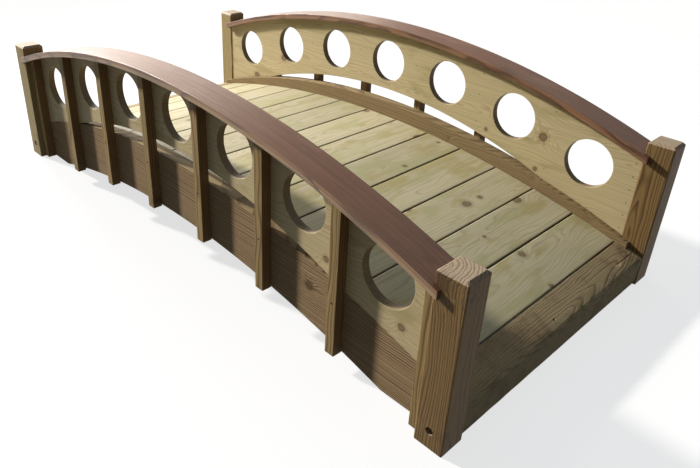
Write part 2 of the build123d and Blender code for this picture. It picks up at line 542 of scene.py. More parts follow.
# Knots that show in the photograph, as places on the bridge, each with its size
DECK_KNOTS = (
    (0.758, 0.279, 0.250, 1.0),
    (1.048, 0.125, 0.193, 1.25),
    (1.196, 0.081, 0.156, 0.8),
    (0.438, 0.200, 0.291, 0.8),
    (0.917, 0.081, 0.221, 0.6),
    (0.380, 0.500, 0.297, 0.7),
)
PANEL_KNOTS = (
    (0.826, 0.564, 0.450, 1.5),
    (0.819, 0.564, 0.309, 0.8),
    (0.568, 0.564, 0.403, 0.7),
    (0.788, -0.594, 0.348, 1.0),
    (1.090, -0.594, 0.274, 1.1),
)
BEAM_KNOTS = (
    (0.404, 0.540, 0.296, 1.0),
    (-0.994, 0.540, 0.202, 1.4),
    (-0.350, 0.540, 0.376, 0.8),
    (0.832, 0.540, 0.280, 0.7),
)
POST_KNOTS = ((1.234, -0.655, 0.528, 2.2),)


class Log:
    """Grain of a softwood timber, read from the place that its points keep in the log."""

    def __init__(self, surface, look):
        self.surface = surface
        self.look = look
        place = surface.node("ShaderNodeAttribute", {"attribute_name": "grain"})["Vector"]
        self.tone = surface.node("ShaderNodeAttribute", {"attribute_name": "tone"})["Fac"]
        self.along, self.across, self.through = surface.parts(place)
        self.knot_distance = self.nearest_knot()
        self.late = self.late_wood()
        self.fibre = self.noise(16, 520, 3.0, 0.6)
        self.streak = self.noise(1.7, look["streak_scale"], 3.0, 0.6)

    def noise(self, along, across, detail=2.0, roughness=0.5, shift=0.0):
        """Noise with its own scales along the grain and across it, per metre."""
        at = self.surface.point(
            self.along * along + shift, self.across * across, self.through * across
        )
        return self.surface.cloud(at, 1.0, detail, roughness)

    def nearest_knot(self):
        """Distance to the nearest knot, measured for a knot of middle size."""
        surface, share = self.surface, self.look["knot_share"]
        flat = surface.point(self.along * 0.75, self.across)
        settings, inputs = {"voronoi_dimensions": "2D"}, {"Vector": flat, "Scale": 1 / KNOT_GAP}
        cells = surface.node("ShaderNodeTexVoronoi", settings, inputs)
        draw = surface.node("ShaderNodeSeparateColor", None, {0: cells["Color"]})
        absent = surface.rise(draw[0], share, share + 0.001)
        distance = cells["Distance"] * KNOT_GAP / (draw[1] + 0.55) + absent
        position = surface.place()
        for x, y, z, size in self.look["knots"]:
            distance = distance.math("MINIMUM", surface.spread(position, (x, y, z)) / size)
        return distance * (0.8 + 0.4 * surface.cloud(position, 75.0, 1.0))

    def late_wood(self):
        """Strength of the dark late wood, from 0 to 1, over the log's rings."""
        surface, wander = self.surface, self.look["wander"]
        across = self.across + (self.noise(1.9, 7) - 0.5) * wander
        through = self.through + (self.noise(2.3, 9, shift=9.0) - 0.5) * wander
        radius = (across * across + through * through).math("SQRT")
        push, rate = UNEVEN_GROWTH
        uneven = surface.cloud(surface.point(radius * rate, 0.0)) * push
        push, rate = KNOT_SWIRL
        swirl = (self.knot_distance * self.knot_distance * rate).math("EXPONENT") * push
        phase = (radius / self.look["ring_width"] + uneven + swirl).math("FRACT")
        full_from, full_to = LATE_WOOD_FULL
        rising = surface.rise(phase, self.look["line_start"], full_from)
        return rising * (1 - surface.rise(phase, full_to, 1.0))

    def stain(self, tint, stain, mask, start, end, share):
        """Blend a colour in where a mask rises: a real stain, and in some finishes painted shade.
        """
        return self.surface.blend(tint, stain, self.surface.rise(mask, start, end) * share)

    def ringed(self, pale, dark):
        """Early and late wood, with the fine fibre."""
        patch = self.noise(2.2, 11, 3.0, 0.55)
        strength = self.look["contrast"] * (0.35 + 0.9 * patch)
        tint = self.surface.blend(pale, dark, self.late * strength)
        return self.stain(tint, dark, self.fibre, 0.5, 0.85, self.look["fibre"])

    def blotched(self, tint, colours):
        """Patches of other colours, longer along the grain, each where its noise is high."""
        for number, (blotch, start) in enumerate(self.look["patches"].items()):
            cover = self.noise(3.1, 10, 3.0, 0.6, shift=7.0 * number)
            patch, share = getattr(colours, blotch), self.look["blotches"]
            tint = self.stain(tint, patch, cover, start, start + 0.13, share)
        return tint

    def knotted(self, tint, dark, knot):
        """Darker wood round each knot, its ringed heart and its rim."""
        surface, distance = self.surface, self.knot_distance
        tint = self.stain(tint, dark, distance, *KNOT_HALO, 0.5)
        rings = (distance * KNOT_RING_RATE).math("SINE") * 0.28 + 0.6
        tint = self.stain(tint, knot, distance, *KNOT_HEART, rings)
        rim = surface.rise(distance, *KNOT_RIM_OUTSIDE) * surface.rise(distance, *KNOT_RIM_INSIDE)
        return surface.blend(tint, knot, rim * 0.85)


def softwood(name, colours):
    """Softwood with rings, fibre, knots and drying checks, then the timber's own finish."""
    look, finish = TIMBERS[name]
    # The names of its two woods' colours start with the timber's first word
    kind = name.split("_")[0]
    pale, dark = getattr(colours, f"{kind}_pale"), getattr(colours, f"{kind}_dark")
    material, surface = new_surface(name)
    log = Log(surface, look)
    tint = log.blotched(log.ringed(pale, dark), colours)
    tint = log.stain(tint, dark, log.streak, 0.5, 0.8, look["streak"])
    tint = log.knotted(tint, dark, colours.knot)
    check = surface.rise(log.noise(3.1, 75), 0.735, 0.765) * look["checks"]
    tint = surface.blend(tint, colours.check, check * 0.9)
    tint = finish(log, surface, colours, tint)
    uneven = (log.streak - 0.5) * look["uneven"]
    relief = log.fibre * 0.5 - log.late * look["ridge"] - check * 1.6
    inputs = {"Strength": look["bump"], "Distance": 0.0012, "Height": relief}
    # A higher tone paints a piece lighter. On the deck boards it differs at random; on the posts it
    # also holds painted light that makes the left end's posts paler.
    surface.show(
        Base_Color=surface.scaled(tint, (1 + log.tone * 0.16) * (1 + uneven)),
        Roughness=look["roughness"] + (log.fibre - 0.5) * 0.25,
        Normal=surface.node("ShaderNodeBump", None, inputs)[0],
        Specular_IOR_Level=look["shine"],
    )
    return material


TIMBERS = {}


def timber(**changes):
    """Keep a timber's look and the function that gives its own finish, under its name."""

    def keep(finish):
        TIMBERS[finish.__name__] = PLAIN_LOOK | changes, finish
        return finish

    return keep


@timber(
    ring_width=0.0085, wander=0.085, line_start=0.6, contrast=0.45, fibre=0.12, streak=0.12,
    knot_share=0.11, knots=DECK_KNOTS, patches={"deck_green": 0.5, "deck_ochre": 0.53},
    blotches=0.75, bump=0.2, roughness=0.52,
)
def deck_pine(log, surface, colours, tint):
    """Planed boards with open flowing grain and greenish patches, with painted shade down the gaps.
    """
    # Painted shade: the sides and rounded edges of each board are darkened toward the knot colour,
    # so that the gaps read dark.
    return log.stain(tint, colours.knot, surface.facing()[2], 0.75, 0.35, 0.8)


@timber(
    ring_width=0.0085, wander=0.12, line_start=0.5, contrast=0.5, fibre=0.14, streak=0.12,
    knot_share=0.14, knots=PANEL_KNOTS, patches={"deck_ochre": 0.55}, bump=0.2, roughness=0.6,
)
def panel_pine(log, surface, colours, tint):
    """Pale board of the moon panels, darker on its cut edges and the walls of its holes: partly the
    cut grain, mostly painted shade.
    """
    flatness = surface.facing()[1]
    # Painted shade, with some darker cut grain: faces that don't look across the bridge are
    # darkened toward the stringers' dark colour.
    return log.stain(tint, colours.beam_dark, flatness * flatness, 0.6, 0.2, 0.72)


@timber(
    ring_width=0.0085, wander=0.024, contrast=0.95, fibre=0.45, streak=0.5, knot_share=0.10,
    knots=BEAM_KNOTS, ridge=0.9, bump=0.6, roughness=0.72, shine=0.12, checks=0.5,
)
def beam_pine(log, surface, colours, tint):
    """Rough-sawn stringers with straight dark grain, planed and paler on the inner side and top."""
    outer_y, inner_y = 0.5925, 0.5905
    across = surface.parts(surface.place())[1].math("ABSOLUTE")
    planed = surface.blend(colours.beam_inner, colours.beam_dark, log.late * 0.5)
    planed = log.stain(planed, colours.beam_dark, log.streak, 0.5, 0.8, 0.55)
    return log.stain(tint, planed, across, outer_y, inner_y, 0.85)


@timber(
    ring_width=0.0052, wander=0.03, contrast=0.9, fibre=0.35, streak=1.0, streak_scale=150,
    uneven=1.8, patches={"rail_worn": 0.54, "rail_dark": 0.58}, blotches=0.45, knot_share=0.0,
    roughness=0.38, shine=0.5,
)
def rail_stain(log, surface, colours, tint):
    """Reddish brown stain on laminated pine, thinner on the outer edge's lower lamination."""
    inner_y, outer_y = 0.6, 0.64
    joint_low, joint_high = 0.026, 0.029
    sideways = surface.facing()[1]
    across = surface.parts(surface.place())[1].math("ABSOLUTE")
    outer = surface.rise(across, inner_y, outer_y)
    edge = surface.rise(sideways * sideways, 0.3, 0.8) * (0.25 + 0.75 * outer)
    bare = surface.blend(colours.rail_edge, colours.rail_dark, log.late * 0.6)
    bare = log.stain(bare, colours.rail_dark, log.streak, 0.42, 0.62, 0.75)
    upper = surface.rise(log.through, joint_low, joint_high)
    return surface.blend(tint, bare, edge * (0.85 - 0.5 * upper))


@timber(
    ring_width=0.0085, wander=0.045, contrast=0.95, fibre=0.35, streak=0.4, knot_share=0.06,
    knots=POST_KNOTS, ridge=0.5, bump=0.4, roughness=0.6, shine=0.25, checks=0.6,
)
def post_pine(log, surface, colours, tint):
    """Golden brown posts, painted paler and greener at the left end as painted light, with paler
    rings on their tops.
    """
    # Painted light: the left end's higher tone blends in the pale olive, for the brighter light on
    # that end.
    left_end_light = surface.rise(log.tone, 0.3, 1.2) * (1 - log.late * 0.6) * 0.55
    tint = surface.blend(tint, colours.post_olive, left_end_light)
    rings = surface.blend(colours.end_grain, colours.post_dark, log.late * 0.5)
    return log.stain(tint, rings, surface.facing()[2], 0.55, 0.75, 0.9)


@timber(
    ring_width=0.0065, wander=0.03, contrast=0.85, fibre=0.4, streak=0.4, knot_share=0.05,
    ridge=0.4, bump=0.4, shine=0.2,
)
def upright_pine(log, surface, colours, tint):
    """Slim side posts, olive outside, with painted shade that makes the sides darker and redder."""
    sideways = surface.facing()[0]
    # Painted shade: the faces that look along the bridge are darkened and reddened, as if in shade.
    return log.stain(tint, colours.upright_dark, sideways * sideways, 0.3, 0.7, 0.45)


@timber(
    ring_width=0.0062, wander=0.045, line_start=0.5, contrast=0.6, fibre=0.4, streak=0.25,
    knot_share=0.18, ridge=0.6, bump=0.6, roughness=0.75, shine=0.15, checks=0.8,
)
def end_pine(log, surface, colours, tint):
    """Weathered end beams, stained in patches, mossy at the worn front edge, and darkened on top as
    painted shade.
    """
    moss_from, moss_full = 1.280, 1.302
    position = surface.place()
    nose = surface.rise(surface.parts(position)[0].math("ABSOLUTE"), moss_from, moss_full)
    damp = surface.cloud(position, 12.0, 4.0, 0.65)
    tint = log.stain(tint, colours.moss, damp, 0.53, 0.64, nose * 0.7)
    patches = surface.cloud(position, 7.5, 4.0, 0.65)
    tint = log.stain(tint, colours.end_dark, patches, 0.47, 0.68, 0.6)
    # Painted shade: faces that look up are darkened, to even the lit top against the shaded front.
    return log.stain(tint, colours.end_dark, surface.facing()[2], 0.6, 0.95, 0.3)


def dull_steel(colours):
    """Oxidised steel of bolts, nails and screws."""
    material, surface = new_surface("dull_steel")
    rust = surface.rise(surface.cloud(surface.place(), 260.0, 3.0), 0.45, 0.65)
    tint = surface.blend(colours.steel, colours.rust, rust * 0.6)
    surface.show(Base_Color=tint, Metallic=0.8, Roughness=0.5 + rust * 0.3)
    return material


def finish_of(context, name):
    """Material by name, made when it is first asked for."""
    made = bpy.data.materials.get(name)
    if made:
        return made
    colours = context.scene.bridge_colours
    return softwood(name, colours) if name in TIMBERS else dull_steel(colours)


# Pieces


class PieceOperator:
    """Base of the operators that build the bridge's pieces."""

    bl_options = {"REGISTER", "UNDO"}

    def execute(self, context):
        sizes = context.scene.bridge_sizes
        self.build(context, sizes, BridgeLines(sizes))
        return {"FINISHED"}


class BRIDGE_OT_corner_posts(PieceOperator, bpy.types.Operator):
    """Build the four square posts with chamfered tops and bored bolt holes"""

    bl_idname = "bridge.corner_posts"
    bl_label = "Corner posts"

    top_chamfer = 0.009
    corner_rounding = 0.004
    arris_rounding = 0.001
    uncut_top = 0.02
    # The left end's posts have the higher tone, which paints them paler and greener: painted light
    # for the brighter light at that end
    tones = {"left": 1.2, "right": -0.3}

    def build(self, context, sizes, lines):
        for side_name, side in SIDES.items():
            for end_name in ENDS:
                self.one_post(context, sizes, side_name, side, end_name)

    def one_post(self, context, sizes, side_name, side, end_name):
        """Post that fills its node's box, with a bolt hole low on its outer face."""
        node = f"corner_post_{side_name}_{end_name}"
        low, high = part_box(node)
        centre = (low + high) / 2
        bm = bmesh.new()
        bmesh.ops.create_cube(bm, size=1)
        bmesh.ops.scale(bm, verts=bm.verts, vec=high - low)
        bmesh.ops.translate(bm, verts=bm.verts, vec=centre)
        self.shape_corners(bm)
        self.cut_courses(bm, low.z, high.z - self.uncut_top)
        self.bore_for_bolt(bm, sizes, centre.x, side)
        long_sharp = [edge for edge in sharp_edges(bm, 40) if edge.calc_length() > 0.02]
        bevel(bm, long_sharp, self.arris_rounding, 2)
        handle(bm, node)
        draw = random.Random(node)
        across, through = draw.uniform(-0.07, 0.07), draw.uniform(0.03, 0.1)
        start = draw.uniform(0, 20)

        def in_log(co):
            return co.z + start, co.x - centre.x + across, co.y - centre.y + through

        add_timber(context, bm, node, ["post_pine"], in_log, self.tones[end_name])

    def shape_corners(self, bm):
        """Chamfer the top, then round the upright edges and the corners of the chamfer."""
        top = max(bm.faces, key=lambda face: face.calc_center_median().z)
        bevel(bm, top.edges[:], self.top_chamfer, 1)
        rising = [
            edge
            for edge in sharp_edges(bm, 20)
            if abs((edge.verts[0].co - edge.verts[1].co).z) > self.top_chamfer / 2
        ]
        bevel(bm, rising, self.corner_rounding, 3)

    def cut_courses(self, bm, bottom, top):
        """Cut the sides into courses, so that they can be a little out of true."""
        for z in steps(bottom, top, 12)[1:]:
            geometry = bm.verts[:] + bm.edges[:] + bm.faces[:]
            bmesh.ops.bisect_plane(bm, geom=geometry, plane_co=(0, 0, z), plane_no=(0, 0, 1))

    def bore_for_bolt(self, bm, sizes, x, side):
        """Bore the bolt hole into the nearest course of the outer face."""
        bm.normal_update()
        outward = Vector((0, side, 0))
        spot = Vector((x, post_high.y * side, sizes.bolt_height))
        face = nearest([face for face in bm.faces if face.normal.dot(outward) > 0.99], spot)
        bore(bm, face, spot, sizes.bolt_hole_radius, sizes.bolt_hole_depth, outward)


class BRIDGE_OT_handrails(PieceOperator, bpy.types.Operator):
    """Build the two arched rails, notched round the corner posts"""

    bl_idname = "bridge.handrails"
    bl_label = "Handrails"

    # The joint between the laminations is the middle row, with a row close on each side
    rows = (0, 0.44, 0.5, 0.56, 1)
    joint_row = 0.5
    joint_depth = 0.0012

    def build(self, context, sizes, lines):
        """Make the rails between the posts, then lengthen them past both sides of each post."""
        low, high = lines.rail_under.height, lines.rail_top.height
        layers = (rail_low.y, post_low.y, post_high.y, rail_high.y)
        columns = steps(-lines.face_x, lines.face_x, 96)
        for side_name, side in SIDES.items():
            node = f"handrail_{side_name}"
            bm = arched_slab(columns, low, high, layers, self.rows)
            for beside_post in (layers[:2], layers[2:]):
                push_ends(bm, lines.face_x, rail_high.x, beside_post, low, high)
            self.open_joint(bm, low, high)
            ease(bm, sizes.arris, sharper=50)
            across_front(bm, side)
            handle(bm, node, 0.0003)
            draw = random.Random(node)
            start, across = draw.uniform(0, 20), draw.uniform(0.25, 0.4)

            def in_log(co):
                return (
                    lines.rail_top.run(co.x) + start,
                    side * co.y - rail_low.y + across,
                    co.z - high(co.x) + 0.04,
                )

            add_timber(context, bm, node, ["rail_stain"], in_log)

    def open_joint(self, bm, low, high):
        """Sink the joint between the two laminations into both edges of the rail."""
        for vert in bm.verts:
            bottom, top = low(vert.co.x), high(vert.co.x)
            if abs((vert.co.z - bottom) / (top - bottom) - self.joint_row) < 0.01:
                if abs(vert.co.y - rail_low.y) < HAIR:
                    vert.co.y += self.joint_depth
                elif abs(vert.co.y - rail_high.y) < HAIR:
                    vert.co.y -= self.joint_depth


class BRIDGE_OT_moon_panels(PieceOperator, bpy.types.Operator):
    """Build the two panels with a round hole in each bay"""

    bl_idname = "bridge.moon_panels"
    bl_label = "Moon panels"

    cuts = 15

    def build(self, context, sizes, lines):
        """Make the panels, each a pierced sheet that is given its thickness."""
        for side_name, side in SIDES.items():
            node = f"moon_panel_{side_name}"
            bm = self.sheet(sizes, lines)
            for vert in grow(bm, bm.faces[:])[1]:
                vert.co.y = panel_high.y
            turn_outward(bm)
            ease(bm, sizes.arris)
            across_front(bm, side)
            draw = random.Random(node)
            start, across = draw.uniform(0, 20), draw.uniform(-0.5, -0.4)

            def in_log(co):
                return co.x + start, co.z + across, side * co.y - panel_low.y + 0.03

            add_timber(context, bm, node, ["panel_pine"], in_log)

    def sheet(self, sizes, lines):
        """Inner face of a panel, one cell to a bay, with its holes."""
        borders = [-lines.face_x, *lines.upright_xs[1:-1], lines.face_x]
        bays = len(borders) - 1
        bm = bmesh.new()
        bmesh.ops.create_grid(bm, x_segments=bays, y_segments=1, size=1)
        bmesh.ops.bisect_edges(bm, edges=bm.edges, cuts=self.cuts)
        for vert in bm.verts:
            place = (vert.co.x + 1) / 2 * bays
            bay = min(int(place + HAIR), bays - 1)
            x = borders[bay] + (place - bay) * (borders[bay + 1] - borders[bay])
            low, high = lines.panel_low(x), lines.rail_under.height(x)
            vert.co = (x, panel_low.y, low + (vert.co.y + 1) / 2 * (high - low))
        for face in bm.faces[:]:
            x = round(face.calc_center_median().x / lines.bay) * lines.bay
            centre = Vector((x, panel_low.y, lines.holes.height(x)))
            place = Matrix.Translation(centre) @ Matrix.Rotation(radians(90), 4, "X")
            pierce(bm, face, sizes.hole_radius, place)
        return bm


class BRIDGE_OT_stringers(PieceOperator, bpy.types.Operator):
    """Build the two arched beams, whose upper edges stand above the deck as kerbs"""

    bl_idname = "bridge.stringers"
    bl_label = "Stringers"

    def build(self, context, sizes, lines):
        """Make the beams between the posts, then lengthen them along the inside of each post."""
        low, high = lines.beam_low, lines.beam_top.height
        layers = (beam_low.y, post_low.y, beam_high.y)
        columns = steps(-lines.face_x, -lines.foot_x, 5)[:-1]
        columns += steps(-lines.foot_x, lines.foot_x, 60)
        columns += steps(lines.foot_x, lines.face_x, 5)[1:]
        for side_name, side in SIDES.items():
            node = f"stringer_{side_name}"
            bm = arched_slab(columns, low, high, layers, (0, 0.5, 1))
            push_ends(bm, lines.face_x, beam_high.x, layers[:2], low, high)
            ease(bm, sizes.arris)
            across_front(bm, side)
            handle(bm, node, 0.0005)
            draw = random.Random(node)
            start, across = draw.uniform(0, 20), draw.uniform(0.5, 0.7)

            def in_log(co):
                return co.x + start, co.z + across, side * co.y - beam_low.y + 0.05

            add_timber(context, bm, node, ["beam_pine"], in_log)


class BRIDGE_OT_side_posts(PieceOperator, bpy.types.Operator):
    """Build the slim uprights outside the panels"""

    bl_idname = "bridge.side_posts"
    bl_label = "Side posts"

    def build(self, context, sizes, lines):
        for side_name, side in SIDES.items():
            for number in range(1, UPRIGHT_COUNT + 1):
                self.one_post(context, sizes, lines, f"side_post_{side_name}_{number}", side)

    def one_post(self, context, sizes, lines, node, side):
        """Post from the stringer's lower edge up to the rail, cut to the rail's slope."""
        low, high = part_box(node)
        layers = (upright_low.y, upright_high.y)
        under_rail = lines.rail_under.height
        bm = arched_slab((low.x, high.x), lambda x: low.z, under_rail, layers, steps(0, 1, 10))
        ease(bm, sizes.arris)
        across_front(bm, side)
        handle(bm, node, 0.0005)
        draw = random.Random(node)
        start, across = draw.uniform(0, 20), draw.uniform(-0.05, 0.05)
        through = draw.uniform(0.03, 0.08)
        # Painted light: besides a random tone, the posts are painted lighter towards the left end
        # and darker towards the right, for the brighter light at the left end
        tone = draw.uniform(-0.6, 0.6) - 0.5 * (low.x / post_high.x)

        def in_log(co):
            return co.z + start, co.x - low.x + across, side * co.y - upright_low.y + through

        add_timber(context, bm, node, ["upright_pine"], in_log, tone)


class BRIDGE_OT_deck_boards(PieceOperator, bpy.types.Operator):
    """Build the walkway's boards, each a little cupped and twisted"""

    bl_idname = "bridge.deck_boards"
    bl_label = "Deck boards"

    def build(self, context, sizes, lines):
        for index in range(BOARD_COUNT):
            self.one_board(context, sizes, lines, index)

    def one_board(self, context, sizes, lines, index):
        """Board made flat at the middle of the bridge, then tilted into its place."""
        node = f"deck_board_{index + 1:02d}"
        low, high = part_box(node)
        width = lines.pitch - sizes.board_gap
        columns = steps(-width / 2, width / 2, 6)
        layers = steps(low.y, high.y, 24)
        bm = arched_slab(columns, lambda x: -sizes.board_thickness, lambda x: 0, layers)
        ease(bm, sizes.board_easing, 3)
        draw = random.Random(node)
        cup, twist = draw.uniform(0.0, 0.0008), draw.uniform(-0.0006, 0.0006)
        for vert in bm.verts:
            across = 2 * vert.co.x / width
            vert.co.z -= cup * across**2 + abs(twist) + twist * across * vert.co.y / high.y
        start, across = draw.uniform(0, 20), draw.uniform(-0.06, 0.06)
        through, slope = draw.uniform(0.025, 0.1), draw.uniform(-0.045, 0.045)
        tone = draw.uniform(-0.7, 0.7)

        def in_log(co):
            return co.y + start, co.x + across + slope * co.y, co.z + through + slope * co.y

        lay_grain(bm, in_log, tone)
        angle = (lines.joint_angle(index) + lines.joint_angle(index + 1)) / 2
        x, z = lines.on_deck(angle, 0)
        bmesh.ops.rotate(bm, verts=bm.verts, matrix=Matrix.Rotation(angle, 3, "Y"))
        bmesh.ops.translate(bm, verts=bm.verts, vec=(x, 0, z))
        handle(bm, node, 0.0003, 5)
        add_piece(bm, f"{node}_timber", [finish_of(context, "deck_pine")], node)


class BRIDGE_OT_deck_bearers(PieceOperator, bpy.types.Operator):
    """Build the strips inside the stringers that the boards lie on"""

    bl_idname = "bridge.deck_bearers"
    bl_label = "Deck bearers"

    def build(self, context, sizes, lines):
        """Make the strips, whose tops follow the undersides of the boards."""
        half_board = lines.pitch / lines.deck.radius / 2
        offset = (lines.deck.radius - sizes.board_thickness) / cos(half_board) - lines.deck.radius
        joints = [lines.joint_angle(joint) for joint in range(BOARD_COUNT + 1)]
        seat = dict(lines.on_deck(angle, offset) for angle in joints)
        height = bearer_high.y - bearer_low.y
        layers = (bearer_low.y, bearer_high.y)
        for side_name, side in SIDES.items():
            node = f"deck_bearer_{side_name}"
            bm = arched_slab(list(seat), lambda x: seat[x] - height, lambda x: seat[x], layers)
            ease(bm, sizes.arris)
            across_front(bm, side)

            def in_log(co):
                return co.x + 3, co.z + 0.4, co.y + 0.05

            add_timber(context, bm, node, ["beam_pine"], in_log, -0.4)


class BRIDGE_OT_end_beams(PieceOperator, bpy.types.Operator):
    """Build the thick weathered beams that close the deck, with worn front edges"""

    bl_idname = "bridge.end_beams"
    bl_label = "End beams"

    fall = 0.034
    clearance = 0.0003
    rows = (0, 0.35, 0.7, 1)
    nose_radius = 0.009
    # Wear of the front edge: how far back it reaches, its depth, and the lean of the front face
    wear_reach = 0.02
    wear_depth = 0.005
    lean = 0.005
    # Screws, from the middle of the bridge, each in a small patch of its own
    screw_x = 1.280
    screw_ys = (-0.488, -0.047, 0.484)
    screw_patch = 0.006
    screw_hole_radius = 0.0048
    screw_hole_depth = 0.005
    # The two cracks at the right end's back corner, from the middle of the bridge
    long_crack_x = 1.270
    long_crack_from = 0.43
    cross_crack_x = 1.290
    cross_crack_y = 0.360
    crack_width = 0.0009
    crack_depth = 0.006

    def build(self, context, sizes, lines):
        for end_name, end in ENDS.items():
            self.one_beam(context, sizes, lines, f"end_beam_{end_name}", end)

    def one_beam(self, context, sizes, lines, node, end):
        """Beam made at the right end, notched round the kerbs, worn, screwed and cracked."""
        low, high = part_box(node)
        back_x = min(abs(low.x), abs(high.x))
        front_x = post_high.x
        notch_x = beam_high.x + self.clearance
        back_top = lines.deck.height(back_x)
        front_top = back_top - self.fall

        def top(x):
            return back_top - self.fall * (x - back_x) / (front_x - back_x)

        columns = (
            back_x,
            (back_x + notch_x) / 2,
            notch_x,
            self.long_crack_x - self.crack_width,
            self.long_crack_x,
            self.screw_x - self.screw_patch,
            self.screw_x + self.screw_patch,
            front_x,
        )
        bm = arched_slab(columns, lambda x: low.z, top, self.layers(), self.rows)
        self.lap_ends(bm, notch_x)
        nose = [
            edge
            for edge in bm.edges
            if min(vert.co.x for vert in edge.verts) > front_x - HAIR
            and min(vert.co.z for vert in edge.verts) > front_top - HAIR
        ]
        bevel(bm, nose, self.nose_radius, 6)
        ease(bm, sizes.arris, sharper=50)
        self.wear(bm, front_x, low.z, front_top)
        self.screw_down(bm, top(self.screw_x))
        if end > 0:
            self.crack(bm)
        else:
            bmesh.ops.scale(bm, verts=bm.verts, vec=(-1, 1, 1))
            bmesh.ops.reverse_faces(bm, faces=bm.faces)
        handle(bm, node, 0.0006, 14)
        draw = random.Random(node)
        start, across = draw.uniform(0, 20), draw.uniform(-0.02, 0.02)

        def in_log(co):
            return (
                co.y + start,
                abs(co.x) - self.long_crack_x + across + 0.05 * co.y,
                co.z - back_top + 0.055 + 0.04 * co.y,
            )

        add_timber(context, bm, node, ["end_pine", "dull_steel"], in_log)

    def layers(self):
        """Lines across the beam between the kerbs, some of them beside screws and cracks."""
        end_y = beam_low.y - self.clearance
        patch, width = self.screw_patch, self.crack_width
        screws = [y + shift for y in self.screw_ys for shift in (-patch, patch)]
        cracks = [self.cross_crack_y + shift for shift in (-width, 0, width)]
        return with_marks(with_marks(steps(-end_y, end_y, 72), screws), cracks)

    def lap_ends(self, bm, notch_x):
        """Lengthen the beam's front past the ends of the kerbs, up to the posts."""
        bm.normal_update()
        for side in SIDES.values():
            ends = [
                face
                for face in bm.faces
                if face.normal.y * side > 0.9 and face.calc_center_median().x > notch_x
            ]
            for vert in grow(bm, ends)[1]:
                vert.co.y = side * end_high.y
        turn_outward(bm)

    def wear(self, bm, front_x, bottom, top):
        """Wear the front edge down unevenly, as feet and weather do, and lean the face back."""

        def height(vert):
            return (vert.co.z - bottom) / (top - bottom)

        for vert in bm.verts:
            near_front = max(0.0, 1 - (front_x - vert.co.x) / self.wear_reach)
            near_top = max(0.0, height(vert) - 0.45)
            worn = noise.noise(Vector((3, 13 * vert.co.y, 7))) + 0.35
            worn += 0.6 * noise.noise(Vector((9, 47 * vert.co.y, 2)))
            depth = self.wear_depth * max(0.0, worn) * near_front * near_top
            vert.co.x -= depth
            vert.co.z -= 0.7 * depth
            vert.co.x -= self.lean * max(0.0, 1 - height(vert)) * near_front

    def screw_down(self, bm, height):
        """Sink a screw hole into each patch of the top, with steel at its bottom."""
        bm.normal_update()
        for y in self.screw_ys:
            spot = Vector((self.screw_x, y, height))
            face = nearest([face for face in bm.faces if face.normal.z > 0.8], spot)
            centre, axis = face.calc_center_median(), face.normal.copy()
            radius, depth = self.screw_hole_radius, self.screw_hole_depth
            bore(bm, face, centre, radius, depth, axis, sides=4).material_index = 1

    def crack(self, bm):
        """Open the cracks round the split corner, one along the beam and one across it."""
        top_from, front_from = 0.12, 0.07
        for vert in bm.verts:
            x, y, z = vert.co
            on_long = abs(x - self.long_crack_x) < 3 * HAIR and y > self.long_crack_from
            on_cross = abs(y - self.cross_crack_y) < 3 * HAIR and x > self.cross_crack_x
            if on_long and z > top_from:
                vert.co.z -= self.crack_depth
            elif on_cross and z > front_from:
                vert.co.z -= 0.7 * self.crack_depth
                vert.co.x -= 0.7 * self.crack_depth


